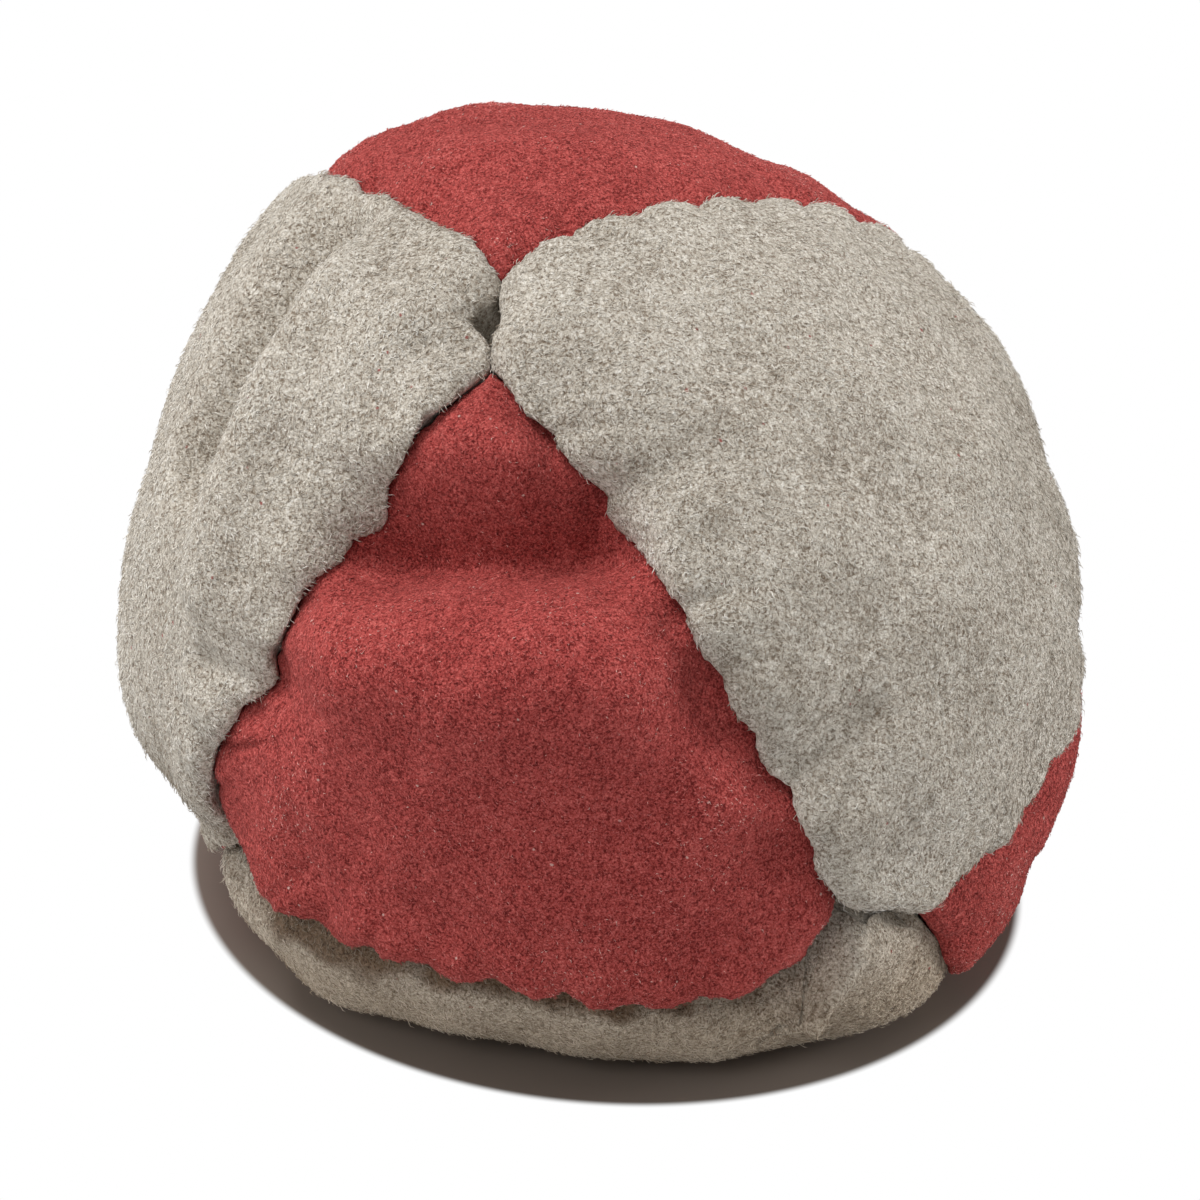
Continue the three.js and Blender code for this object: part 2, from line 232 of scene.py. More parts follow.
# Each seam's ends, its bends in degrees, and in millimetres how far it laps to the left of its way, how
# far the lobes between its stitches stand out, and how high the lapping edge stands above the other.
seams = {
    ("near", "left"): ((-1.5, 1.2, -1.3, 1), 0.8, 0.08, 0.5),
    ("near", "right"): ((3.6, 0.7, 0.7, -0.2), -0.9, 0.06, 0.8),
    ("left", "right"): ((-1.9, 3.6, -1.4, 1.2, -0.7, 0.5, -0.2, 0.2, -0.2), -0.9, 0.3, 2.4),
    ("near", "far_left"): ((0.3, 0.6, -0.2, 0, -0.5), -0.4, 0.08, 0.3),
    ("near", "far_right"): ((-3.7, 1.4, -0.7, 0.4, 0.4), 0.4, 0.04, 0.2),
    ("far_left", "far_right"): ((0, 0), -0.6, 0.2, 0.5),
    ("right", "far_right"): ((0.5, -1.2, 0.5, 0.3, 0.5), -0.6, 0.05, 0.8),
    ("right", "far"): ((0, 0), -0.5, 0.2, 0.5),
    ("far", "far_right"): ((0, 0), 0.5, 0.2, 0.5),
    ("left", "far"): ((0, 0), 0.5, 0.2, 0.5),
    ("left", "far_left"): ((0, 0), 0.6, 0.2, 0.8),
    ("far", "far_left"): ((0, 0), -0.5, 0.2, 0.5),
}


def panel_centre(names):
    return unit(sum(corners[name] for name in names))


def tip(corner, ends):
    """Where the red panel that has this seam ends, near a corner point. The lower left one ends closest."""
    names = next(names for names, red in panels.values() if red and set(ends) <= set(names))
    centre = panel_centre(names)
    angle = np.arccos(corners[corner] @ centre)
    setback = left_tip_setback if corner == "left" and "far" in names else tip_setback
    return between(corners[corner], centre, setback / reach(corners[corner]) / angle)


def length_of(path):
    return np.linalg.norm(np.diff(path, axis=0), axis=1).sum()


def lay_out_seam(ends, number):
    """A seam's line with the places of its stitches, and its values at every step."""
    bends, lap, lobing, step = seams[ends]
    start, end = tip(ends[0], ends), tip(ends[1], ends)
    measured = place(between(start, end, np.linspace(0, 1, 25), bends), 0)
    length = length_of(measured)
    stitched = length - 2 * tip_margin
    pitches = max(round(stitched / stitch_pitch), 1)
    shares = np.linspace(0, 1, seam_steps + 1)
    toward = between(start, end, shares, bends)
    way = np.gradient(toward, axis=0)
    draw = np.random.default_rng(number)
    return {
        "toward": toward,
        "left": unit(np.cross(toward, way)),
        "phase": (shares * length - tip_margin) / stitched * pitches,
        "to_end": np.minimum(shares, 1 - shares) * length,
        "lap": lap,
        "lobing": np.sign(lap) * lobing,
        "step": np.sign(lap) * step,
        "length": length,
        "bends": bends,
        "start": start,
        "end": end,
        "stitch_shares": (tip_margin + np.arange(pitches + 1) * stitched / pitches) / length,
        "pull": draw.uniform(*pull_range, pitches + 1),
        "crease": draw.uniform(*crease_range, pitches + 1),
        "tilt": draw.uniform(*tilt_range, pitches + 1),
        "fullness": draw.uniform(*fullness_range, pitches + 2),
    }


laid_out = {ends: lay_out_seam(ends, number) for number, ends in enumerate(seams)}


# The suede panels
# Eight triangles of split suede, four red and four grey, 0.8 mm thick. Each is turned in at its seams,
# drawn in at every stitch, and crowned over the sand between them.
to_metres = 0.001
to_mm = 1000.0
shoulder_reach = 1.6
panel_rise = {True: 0.9, False: 1.2}
crown_reach = {True: 4.5, False: 3.4}
stitch_pull = 0.42
pull_width = 0.6
puff_rise = 0.22
puff_from_seam = 0.9
puff_width = 1.6
puff_fullness = 0.45
lump_height = 0.16
grain_height = 0.03
bend_drop = 0.15

# A lap grows over its first millimetres from a tip, fades away from the seam, is uneven, and moves the
# suede most where it stands highest. The panel on top has a tighter shoulder and a steeper crown.
lap_growth = 3
lap_fade = 2.4
lap_unevenness = 0.5
lap_most = 1.2
lap_shoulder = 0.6
lap_crown = 0.7

# Beside a stepped seam the higher panel swells by a share of the step and the lower one sinks by it.
# Under a high step the lower one is hollowed too. Both have their share, and a middle and width in mm.
step_relief = (0.38, 1, 1.5)
step_hollow = (0.65, 1.4, 1.1)
hollow_from = 0.8
corner_fade = 2

# The joins between grey tips gape a little, and one gapes wide. At the right corner point the upper
# grey tip stands on the lower one. Such a join is numbered after the seams, and no join has stitches.
open_join = ("upper_left_panel", "near")
wide_gape = 1.3
usual_gape = 0.3
stepped_joins = {"right": ("upper_right_panel", 2.2)}
step_number = 100
no_stitches = -9.0

# Where a border heads almost for its panel's centre, its rings are spaced as if it crossed at this sine.
least_sine = 0.35

# The steps of the mesh over the shoulder and across to the centre, for the face and for its lining, and
# the shares of the way to the centre past which each has half as many points.
face_steps = (12, 58)
lining_steps = (5, 14)
face_thinning = (0.45, 0.72, 0.9)
lining_thinning = (0.4, 0.8)
least_shoulder = 0.2


def puffs_along(seam):
    """How full the suede is at each point of a seam: nothing at its stitches, most between them."""
    phase = seam["phase"]
    stitches = len(seam["pull"]) - 1
    inside = np.clip(np.minimum(phase + 0.5, stitches + 0.5 - phase), 0, 1)
    number = np.clip(np.floor(phase).astype(int) + 1, 0, stitches + 1)
    return (0.5 - 0.5 * np.cos(2 * np.pi * phase)) * inside * seam["fullness"][number]


def seam_between(first, second):
    """The ends that name a seam, and 1 where it runs from first to second or -1 where it runs back."""
    return ((first, second), 1) if (first, second) in laid_out else ((second, first), -1)


def seam_side(first, second):
    """One side of a panel: the seam's values in the panel's own order, without the last point."""
    ends, way = seam_between(first, second)
    seam = laid_out[ends]
    along = {key: seam[key] for key in ("toward", "phase", "to_end")}
    along |= {"left": way * seam["left"], "puff": puffs_along(seam), "cut": np.zeros(seam_steps + 1)}
    along |= {key: np.full(seam_steps + 1, way * seam[key]) for key in ("lap", "lobing", "step")}
    along["seam"] = np.full(seam_steps + 1, list(seams).index(ends))
    return {key: values[::way][:-1] for key, values in along.items()}


def join_side(name, corner, here, there):
    """The short join of a grey panel at a corner point, between its two seams."""
    shares = np.arange(join_steps) / join_steps
    gape = wide_gape if (name, corner) == open_join else usual_gape
    on_top, step = stepped_joins.get(corner, (None, 0))
    way = 0 if on_top is None else -1 if name == on_top else 1
    toward = between(here, there, shares)
    side = {key: np.zeros(join_steps) for key in ("to_end", "lap", "lobing", "puff")}
    return side | {
        "toward": toward,
        "left": np.zeros_like(toward),
        "phase": np.full(join_steps, no_stitches),
        "step": np.full(join_steps, way * step),
        "cut": gape * np.sin(np.pi * shares) ** 6,
        "seam": np.full(join_steps, step_number if way else -1),
    }


def border_of(name):
    """The closed border of a panel as arrays, counterclockwise from outside."""
    names, red = panels[name]
    sides = []
    for corner, following, last in zip(names, names[1:] + names[:1], names[2:] + names[:2]):
        sides.append(seam_side(corner, following))
        if not red:
            ends, way = seam_between(corner, following)
            next_ends, next_way = seam_between(following, last)
            here = laid_out[ends]["toward"][::way][-1]
            there = laid_out[next_ends]["start" if next_way > 0 else "end"]
            sides.append(join_side(name, following, here, there))
    return {key: np.concatenate([side[key] for side in sides]) for key in sides[0]}


def inset_shares(toward, centre):
    """The share of the way to the centre that moves each border point 1 mm away from its seam."""
    ray = unit(centre - toward * (toward @ centre)[:, None])
    shares = []
    for edge in (toward - np.roll(toward, 1, 0), np.roll(toward, -1, 0) - toward):
        sine = np.maximum(np.linalg.norm(np.cross(unit(edge), ray), axis=1), least_sine)
        shares.append(1 / (reach(toward) * np.arccos(np.clip(toward @ centre, -1, 1)) * sine))
    return np.maximum(*shares)


# Random waves for the lumps of sand under the suede and for the suede's own unevenness. The uneven edge of a
# lap or of the painted shade under the lip comes from the lumps' waves too, at a finer pace.
wave_draw = np.random.default_rng(7)
fine_lumps = 2.5


def draw_waves(count, longest, shortest):
    """Waves that run in random ways, from their longest to their shortest in radians to the mm."""
    ways = unit(wave_draw.normal(size=(count, 3)))
    return ways * wave_draw.uniform(longest, shortest, (count, 1)), wave_draw.uniform(0, 6.28, count)


lump_waves = draw_waves(18, 0.5, 1.1)
grain_waves = draw_waves(60, 2.2, 9.0)


def waves(points, table):
    vectors, phases = table
    total = np.zeros(points.shape[:-1])
    for vector, phase in zip(vectors, phases):
        total += np.sin(points @ vector + phase)
    return total / np.sqrt(len(phases) / 2)


def seam_distances(toward, border):
    """Each direction's distance in mm from each seam and stepped join of a panel, with its lap and step."""
    out = []
    length = reach(toward)
    for seam in np.unique(border["seam"][border["seam"] >= 0]):
        mine = border["seam"] == seam
        nearest = (toward @ border["toward"][mine][::3].T).max(-1)
        distance = np.arccos(np.clip(nearest, -1, 1)) * length
        out.append((distance, border["lap"][mine][0], border["step"][mine][0]))
    return out


def crown(toward, border, red):
    """How far a panel stands above the skin. It rises more steeply at a seam where it laps over."""
    height = np.full(toward.shape[:-1], panel_rise[red])
    found = seam_distances(toward, border)
    for distance, lap, step in found:
        height = height * (1 - np.exp(-distance / (crown_reach[red] * (1 + lap_crown * lap))))
    from_seams = [1 - np.exp(-distance / corner_fade) for distance, lap, step in found[:3]]
    for number, (distance, lap, step) in enumerate(found):
        others = [factor for place_of, factor in enumerate(from_seams) if place_of != number]
        share = np.prod(others, axis=0) if number < 3 else 1
        relief, relief_middle, relief_width = step_relief
        hollow, hollow_middle, hollow_width = step_hollow
        sunk = relief * step * hump(distance, relief_width, relief_middle)
        sunk += hollow * max(step - hollow_from, 0) * hump(distance, hollow_width, hollow_middle)
        height = height - sunk * share
    return height


def stitch_draw(border, distance):
    """How deep the suede is drawn in by its stitches (positive) or puffs out between them."""
    depth = np.zeros(distance.shape)
    for number, seam in enumerate(laid_out.values()):
        mine = border["seam"] == number
        if not mine.any():
            continue
        phase = border["phase"][mine]
        away = distance[..., mine]
        total = np.zeros(away.shape)
        for index, (pull, crease, tilt) in enumerate(zip(seam["pull"], seam["crease"], seam["tilt"])):
            along = (phase - index + tilt * away) * stitch_pitch
            total += stitch_pull * pull * hump(along, pull_width) * hump(away, crease)
        total -= puff_rise * border["puff"][mine] * hump(away, puff_width, puff_from_seam)
        depth[..., mine] = total
    return depth


def lapped(border, toward, distance, depth):
    """Moves directions sideways where the puffs of one panel lap over the other."""
    fade = np.clip(border["to_end"] / lap_growth, 0, 1) * hump(distance, lap_fade)
    uneven = lap_unevenness * waves(place(border["toward"], 0) * fine_lumps, lump_waves)
    amount = (border["lap"] + border["lobing"] * (border["puff"] + uneven)) * fade
    amount = amount * np.clip(1 - depth / groove_depth, 0, lap_most)
    return unit(toward + border["left"] * (amount / reach(toward))[..., None])


def bands(rings):
    """Quads and triangles between neighbouring rings of point numbers, from the first inward."""
    quads, triangles = [], []
    for outer, inner in zip(rings, rings[1:]):
        if len(outer) == len(inner):
            quads.append(np.stack([outer, np.roll(outer, -1), np.roll(inner, -1), inner], 1))
            continue
        even, odd = outer[::2], outer[1::2]
        next_even, ahead = np.roll(even, -1), np.roll(inner, -1)
        for face in ((even, odd, inner), (odd, ahead, inner), (odd, next_even, ahead)):
            triangles.append(np.stack(face, 1))
    return quads, triangles


def make_mesh(name, points, quads, triangles):
    """A mesh object from lists of points in millimetres, of quads and of triangles."""
    points, quads, triangles = (np.concatenate(parts) for parts in (points, quads, triangles))
    mesh = bpy.data.meshes.new(name)
    mesh.vertices.add(len(points))
    mesh.vertices.foreach_set("co", (points * to_metres).astype(np.float32).ravel())
    loops = np.concatenate([quads.ravel(), triangles.ravel()]).astype(np.int32)
    sizes = np.concatenate([np.full(len(quads), 4), np.full(len(triangles), 3)]).astype(np.int32)
    mesh.loops.add(len(loops))
    mesh.loops.foreach_set("vertex_index", loops)
    mesh.polygons.add(len(sizes))
    mesh.polygons.foreach_set("loop_start", np.concatenate([[0], np.cumsum(sizes)[:-1]]).astype(np.int32))
    mesh.polygons.foreach_set("loop_total", sizes)
    mesh.polygons.foreach_set("use_smooth", np.ones(len(sizes), bool))
    mesh.update(calc_edges=True)
    mesh.validate()
    piece = bpy.data.objects.new(name, mesh)
    bpy.context.scene.collection.objects.link(piece)
    return piece


def cover_depth(border, red, toward, distance, drop):
    """The depth of the suede's face: crowned, drawn in by the stitches and lumpy over the sand."""
    depth = drop + stitch_draw(border, distance) - crown(toward, border, red)
    return depth - lump_height * waves(place(toward, 0), lump_waves)


def hole_columns(border):
    """The border steps that lie within a stitch hole."""
    phase, following = border["phase"], np.roll(border["phase"], -1)
    middle = (phase + following) / 2
    at_stitch = np.abs(middle - np.round(middle)) * stitch_pitch < hole_size / 2
    on_seam = (middle > -0.5) & (np.abs(phase - following) < 0.5)
    return np.nonzero(at_stitch & on_seam & (border["to_end"] > tip_margin / 2))[0]


def hole_walls(lower, upper, lining_lower, lining_upper, columns):
    """Faces through the thickness around each run of columns that is left open."""
    walls = []
    for column in columns:
        ahead = (column + 1) % len(lower)
        rings = (lower, upper, lining_lower, lining_upper)
        low, high, lining_low, lining_high = ((ring[column], ring[ahead]) for ring in rings)
        walls.append([low[0], low[1], lining_low[1], lining_low[0]])
        walls.append([high[1], high[0], lining_high[0], lining_high[1]])
        if column - 1 not in columns:
            walls.append([high[0], low[0], lining_low[0], lining_high[0]])
        if column + 1 not in columns:
            walls.append([low[1], high[1], lining_high[1], lining_low[1]])
    return np.array(walls)


def spacing(inward, thinning):
    """How many of the border's steps a ring takes at once, doubled past each share in thinning."""
    return 2 ** sum(inward >= share for share in thinning)


def build_panel(name):
    """One panel of suede with its face, its lining, its turned-in edge and its stitch holes."""
    names, red = panels[name]
    centre = panel_centre(names)
    border = border_of(name)
    insets = inset_shares(border["toward"], centre)
    open_columns = hole_columns(border)
    lap_share = border["lap"] * np.clip(border["to_end"] / lap_growth, 0, 1)
    widths = shoulder_reach * (1 + lap_shoulder * lap_share)
    fullness = 1 / (1 + puff_fullness * border["puff"])
    points, rings = [], []

    def share_at(distance):
        return insets * (distance + border["cut"])

    def add_ring(toward, depth, every=1):
        ring = place(toward[::every], np.broadcast_to(depth, len(toward))[::every])
        rings.append(np.arange(len(ring)) + sum(map(len, points)))
        points.append(ring)

    def face_ring(share, drop, every=1, grain=grain_height):
        distance = np.maximum(share / insets - border["cut"], 0)
        toward = between(border["toward"], centre, share)
        depth = cover_depth(border, red, toward, distance, drop)
        toward = lapped(border, toward, distance, depth)
        depth = depth - grain * waves(place(toward, depth), grain_waves)
        add_ring(toward, depth, every)

    def flange(aside):
        """The turned-in allowance, from its cut edge to where it bends, with the row of holes."""
        toward = between(border["toward"], centre, share_at(aside))
        drawn = stitch_draw(border, np.full(len(toward), aside))
        for depth in (edge_depth, stitch_depth + hole_size / 2, stitch_depth - hole_size / 2):
            add_ring(toward, depth)
        add_ring(toward, groove_depth + bend_drop + drawn)

    # From the edge of the allowance up its outer face, over the shoulder and across the crown.
    flange(outer_face)
    across = widths - mouth_face
    for turn in np.radians(np.linspace(0, 90, face_steps[0])):
        aside, up = 1 - np.cos(turn) ** fullness, np.sin(turn) ** fullness
        face_ring(share_at(mouth_face + across * aside), groove_depth * (1 - up))
    shoulder = share_at(widths)
    for inward in np.linspace(0, 1, face_steps[1])[1:-1]:
        face_ring(shoulder + (1 - shoulder) * inward, 0.0, spacing(inward, face_thinning))
    outer_rings = list(rings)

    # The lining, one thickness inside.
    rings.clear()
    flange(inner_face)
    across = np.maximum(widths - inner_face, least_shoulder)
    inner_shoulder = share_at(inner_face + across)
    for turn in np.radians(np.linspace(0, 90, lining_steps[0])[1:]):
        drop = groove_depth - (groove_depth - suede_thickness) * np.sin(turn)
        face_ring(share_at(inner_face + across * (1 - np.cos(turn))), drop, 2, 0)
    for inward in np.linspace(0, 1, lining_steps[1])[1:-1]:
        every = 2 * spacing(inward, lining_thinning)
        face_ring(inner_shoulder + (1 - inner_shoulder) * inward, suede_thickness, every, 0)
    inner_rings = list(rings)

    quads, triangles = bands(outer_rings)
    inner_quads, inner_triangles = bands(inner_rings)
    quads[1] = np.delete(quads[1], open_columns, 0)
    inner_quads[1] = np.delete(inner_quads[1], open_columns, 0)
    quads += [band[:, ::-1] for band in inner_quads]
    triangles += [band[:, ::-1] for band in inner_triangles]
    quads.append(hole_walls(*outer_rings[1:3], *inner_rings[1:3], set(open_columns)))
    edge, inner_edge = outer_rings[0], inner_rings[0]
    quads.append(np.stack([inner_edge, np.roll(inner_edge, -1), np.roll(edge, -1), edge], 1))
    for last, flip in ((outer_rings[-1], 1), (inner_rings[-1], -1)):
        total = sum(map(len, points))
        points.append(np.concatenate(points)[last].mean(0)[None])
        triangles.append(np.stack([last, np.roll(last, -1), np.full(len(last), total)], 1)[:, ::flip])
    return make_mesh(name.replace("_panel", "_suede"), points, quads, triangles)


def add_node(tree, kind, inputs=None, **settings):
    """A node of a kind with its settings, and values for the inputs that nothing is linked to."""
    node = tree.nodes.new("ShaderNode" + kind)
    for name, value in settings.items():
        setattr(node, name, value)
    for name, value in (inputs or {}).items():
        node.inputs[name].default_value = value
    return node


def join(tree, *links):
    for output, entry in links:
        tree.links.new(output, entry)


def new_material(name, **shader_values):
    """A material, its tree, its shader and its place on the piece in millimetres."""
    material = bpy.data.materials.new(name)
    material.use_nodes = True
    tree = material.node_tree
    shader = tree.nodes["Principled BSDF"]
    for socket, value in shader_values.items():
        shader.inputs[socket.replace("_", " ")].default_value = value
    spot = add_node(tree, "TexCoord")
    in_mm = add_node(tree, "VectorMath", {"Scale": to_mm}, operation="SCALE")
    join(tree, (spot.outputs["Object"], in_mm.inputs[0]))
    return material, tree, shader, in_mm.outputs[0]


def add_ramp(tree, factor, stops):
    """A colour ramp from a list of positions and colours."""
    ramp = add_node(tree, "ValToRGB")
    elements = ramp.color_ramp.elements
    elements[0].position, elements[0].color = stops[0][0], (*stops[0][1], 1)
    elements[1].position, elements[1].color = stops[-1][0], (*stops[-1][1], 1)
    for position, colour in stops[1:-1]:
        elements.new(position).color = (*colour, 1)
    join(tree, (factor, ramp.inputs["Fac"]))
    return ramp.outputs["Color"]


def weigh(tree, parts, start=0.0):
    """A sum of outputs, each times its weight."""
    total = None
    for output, weight in parts:
        term = add_node(tree, "Math", {1: weight, 2: start}, operation="MULTIPLY_ADD")
        join(tree, (output, term.inputs[0]))
        if total is not None:
            join(tree, (total, term.inputs[2]))
        total = term.outputs[0]
    return total


def add_rise(tree, start, full, most=1.0):
    """A smooth rise of a value from 0 at start to its most at full."""
    limits = {"From Min": start, "From Max": full, "To Max": most}
    return add_node(tree, "MapRange", limits, interpolation_type="SMOOTHSTEP")


def add_tufts(tree, spot, cell, strand, seed):
    """Short strands that lie another way in each tuft: noise drawn out along a random line."""
    moved = add_node(tree, "VectorMath", {1: (seed, 2 * seed, -seed)}, operation="ADD")
    cells = add_node(tree, "TexVoronoi", {"Scale": cell})
    turn = add_node(tree, "VectorMath", {"Scale": 2 * np.pi}, operation="SCALE")
    lie = add_node(tree, "VectorRotate", rotation_type="EULER_XYZ")
    drawn = add_node(tree, "VectorMath", {1: (0.32, 1, 1)}, operation="MULTIPLY")
    strands = add_node(tree, "TexNoise", {"Scale": strand, "Detail": 1.5, "Roughness": 0.55})
    join(
        tree,
        (spot, moved.inputs[0]),
        (moved.outputs[0], cells.inputs["Vector"]),
        (cells.outputs["Color"], turn.inputs[0]),
        (turn.outputs[0], lie.inputs["Rotation"]),
        (moved.outputs[0], lie.inputs["Vector"]),
        (lie.outputs[0], drawn.inputs[0]),
        (drawn.outputs[0], strands.inputs["Vector"]),
    )
    return strands.outputs["Fac"]


# The suede is tinted darker and browner below the first height in mm, and most below the second. Each colour
# of suede has the tint and the share that the tint has there.
low_tint_top = 14.0
low_tint_full = 3.0
red_low_tint = ((0.9, 0.85, 0.8), 0.5)
grey_low_tint = ((0.86, 0.76, 0.65), 0.9)


def add_low_tint(tree, spot, colour, tint, share):
    """Tints a colour darker and browner where the bag is low."""
    apart = add_node(tree, "SeparateXYZ")
    low = add_rise(tree, low_tint_top, low_tint_full, share)
    low_tinted = add_node(tree, "Mix", {"B": (*tint, 1)}, data_type="RGBA", blend_type="MULTIPLY")
    join(
        tree,
        (spot, apart.inputs[0]),
        (apart.outputs["Z"], low.inputs["Value"]),
        (low.outputs[0], low_tinted.inputs["Factor"]),
        (colour, low_tinted.inputs["A"]),
    )
    return low_tinted.outputs["Result"]


def make_nap_group():
    """Brushed suede: how high its matted strands stand, its dark pinholes, cloudiness and stray fibres."""
    tree = bpy.data.node_groups.new("suede_nap", "ShaderNodeTree")
    tree.interface.new_socket("Spot", in_out="INPUT", socket_type="NodeSocketVector")
    for name in ("Height", "Pinholes", "Clouds", "Strays"):
        tree.interface.new_socket(name, in_out="OUTPUT", socket_type="NodeSocketFloat")
    entry, leave = tree.nodes.new("NodeGroupInput"), tree.nodes.new("NodeGroupOutput")
    warp = add_node(tree, "TexNoise", {"Scale": 2.0, "Detail": 2.0})
    bent = add_node(tree, "VectorMath", {1: (0.3, 0.3, 0.3)}, operation="MULTIPLY_ADD")
    crumbs = add_node(tree, "TexVoronoi", {"Scale": 4.4, "Randomness": 1.0})
    fine = add_node(tree, "TexNoise", {"Scale": 12.0, "Detail": 2.0, "Roughness": 0.6})
    clumps = add_node(tree, "TexNoise", {"Scale": 1.5, "Detail": 2.0})
    holes = add_node(tree, "TexNoise", {"Scale": 4.2, "Detail": 3.0, "Roughness": 0.65})
    pinholes = add_rise(tree, 0.57, 0.67)
    clouds = add_node(tree, "TexNoise", {"Scale": 0.22, "Detail": 4.0, "Roughness": 0.6})
    spots = add_node(tree, "TexVoronoi", {"Scale": 0.42})
    strays = add_rise(tree, 0.07, 0.03)
    join(
        tree,
        (entry.outputs["Spot"], warp.inputs["Vector"]),
        (warp.outputs["Color"], bent.inputs[0]),
        (entry.outputs["Spot"], bent.inputs[2]),
        (entry.outputs["Spot"], clouds.inputs["Vector"]),
        (bent.outputs[0], crumbs.inputs["Vector"]),
        (bent.outputs[0], fine.inputs["Vector"]),
        (bent.outputs[0], clumps.inputs["Vector"]),
        (bent.outputs[0], holes.inputs["Vector"]),
        (bent.outputs[0], spots.inputs["Vector"]),
        (holes.outputs["Fac"], pinholes.inputs["Value"]),
        (spots.outputs["Distance"], strays.inputs["Value"]),
        (pinholes.outputs[0], leave.inputs["Pinholes"]),
        (clouds.outputs["Fac"], leave.inputs["Clouds"]),
        (strays.outputs[0], leave.inputs["Strays"]),
    )
    height = weigh(tree, [
        (crumbs.outputs["Distance"], -0.4),
        (add_tufts(tree, bent.outputs[0], 2.2, 5.2, 3.0), 0.6),
        (add_tufts(tree, bent.outputs[0], 3.4, 8.5, 11.0), 0.6),
        (fine.outputs["Fac"], 0.5),
        (clumps.outputs["Fac"], 0.4),
        (pinholes.outputs[0], -0.2),
    ], -0.43)
    join(tree, (height, leave.inputs["Height"]))
    return tree


nap_group = make_nap_group()

# Painted shade under the lip of the front panel: a dark tone on the grey suede where the lip's shadow falls.
# It reaches so many mm and fades out over the last of them. It widens around one share of the lip's length,
# has an uneven edge, and ends short of the lip's ends.
painted_shade_lip = ("left", "right")
painted_shade_reach = 4.08
painted_shade_fade = 1.2
painted_shade_widening, painted_shade_widest, painted_shade_spread = 0.8, 0.2, 0.12
painted_shade_unevenness = 0.5
painted_shade_ends = (0.025, 0.075, 0.8, 0.925)
# The dark tone of the painted shade under the lip.
painted_shade_tint = (0.36, 0.28, 0.22)


def painted_shade_at(spots):
    """How much painted shade darkens grey suede under the lip, from 0 to 1, at points in millimetres."""
    lip = place(laid_out[painted_shade_lip]["toward"], 0)
    distances = np.array([np.linalg.norm(spots - point, axis=1) for point in lip])
    share = distances.argmin(0) / seam_steps
    amount = (painted_shade_reach - distances.min(0)) / painted_shade_fade
    amount += painted_shade_widening * hump(share, painted_shade_spread, painted_shade_widest)
    amount += painted_shade_unevenness * waves(spots * fine_lumps, lump_waves)
    return np.clip(amount, 0, 1) * np.interp(share, painted_shade_ends, (0, 1, 1, 0))


# How much the pinholes darken, and how high in mm the material's own nap stands.
pinhole_share = 0.6
nap_relief = 0.15


def make_suede(name, scale, stops, pinhole, stray, tone_shift, **shader_values):
    """Suede coloured by the height of its nap, which gives random tone and painted shade: dark in its
    hollows, light at its tips.
    """
    material, tree, shader, spot = new_material(name, **shader_values)
    scaled = add_node(tree, "VectorMath", {"Scale": scale}, operation="SCALE")
    nap = tree.nodes.new("ShaderNodeGroup")
    nap.node_tree = nap_group
    join(tree, (spot, scaled.inputs[0]), (scaled.outputs[0], nap.inputs["Spot"]))
    # The tone follows the nap's height, so the ramp paints shade into the hollows over the random tone.
    tone = weigh(tree, [(nap.outputs["Height"], 1.3), (nap.outputs["Clouds"], 0.3)], -0.25)
    holed = add_node(tree, "Mix", {"B": (*pinhole, 1)}, data_type="RGBA")
    strayed = add_node(tree, "Mix", {"B": (*stray, 1)}, data_type="RGBA")
    # Painted shade under the lip, read from a point attribute, darkens the colour.
    painted_shade = add_node(tree, "Attribute", attribute_name="painted_shade")
    painted_shaded = add_node(tree, "Mix", {"B": (*painted_shade_tint, 1)}, data_type="RGBA", blend_type="MULTIPLY")
    rough = add_node(tree, "MapRange", {"To Min": 1.0, "To Max": 0.85})
    bump = add_node(tree, "Bump", {"Distance": nap_relief * to_metres, "Strength": 1.0})
    join(
        tree,
        (weigh(tree, [(nap.outputs["Pinholes"], pinhole_share)]), holed.inputs["Factor"]),
        (add_ramp(tree, tone, stops), holed.inputs["A"]),
        (holed.outputs["Result"], strayed.inputs["A"]),
        (nap.outputs["Strays"], strayed.inputs["Factor"]),
        (strayed.outputs["Result"], painted_shaded.inputs["A"]),
        (painted_shade.outputs["Fac"], painted_shaded.inputs["Factor"]),
        (add_low_tint(tree, spot, painted_shaded.outputs["Result"], *tone_shift), shader.inputs["Base Color"]),
        (nap.outputs["Height"], rough.inputs["Value"]),
        (rough.outputs[0], shader.inputs["Roughness"]),
        (nap.outputs["Height"], bump.inputs["Height"]),
        (bump.outputs[0], shader.inputs["Normal"]),
    )
    return material


red_suede = make_suede(
    "red_suede", scale=1.5,
    stops=[(0.15, (0.17, 0.018, 0.017)), (0.5, (0.48, 0.078, 0.07)), (0.85, (0.7, 0.17, 0.15))],
    pinhole=(0.12, 0.012, 0.012), stray=(0.7, 0.45, 0.4), tone_shift=red_low_tint,
    Sheen_Weight=0.1, Sheen_Roughness=0.5, Sheen_Tint=(1, 0.35, 0.3, 1), Specular_IOR_Level=0.1,
)
grey_suede = make_suede(
    "grey_suede", scale=1.25,
    stops=[(0.1, (0.24, 0.19, 0.14)), (0.5, (0.6, 0.545, 0.465)), (0.85, (0.86, 0.82, 0.75))],
    pinhole=(0.2, 0.14, 0.09), stray=(0.35, 0.12, 0.1), tone_shift=grey_low_tint,
    Sheen_Weight=0.1, Sheen_Roughness=0.5, Specular_IOR_Level=0.1,
)


def points_of(mesh):
    """The points of a mesh in millimetres."""
    points = np.empty(len(mesh.vertices) * 3, np.float32)
    mesh.vertices.foreach_get("co", points)
    return points.reshape(-1, 3) * to_mm


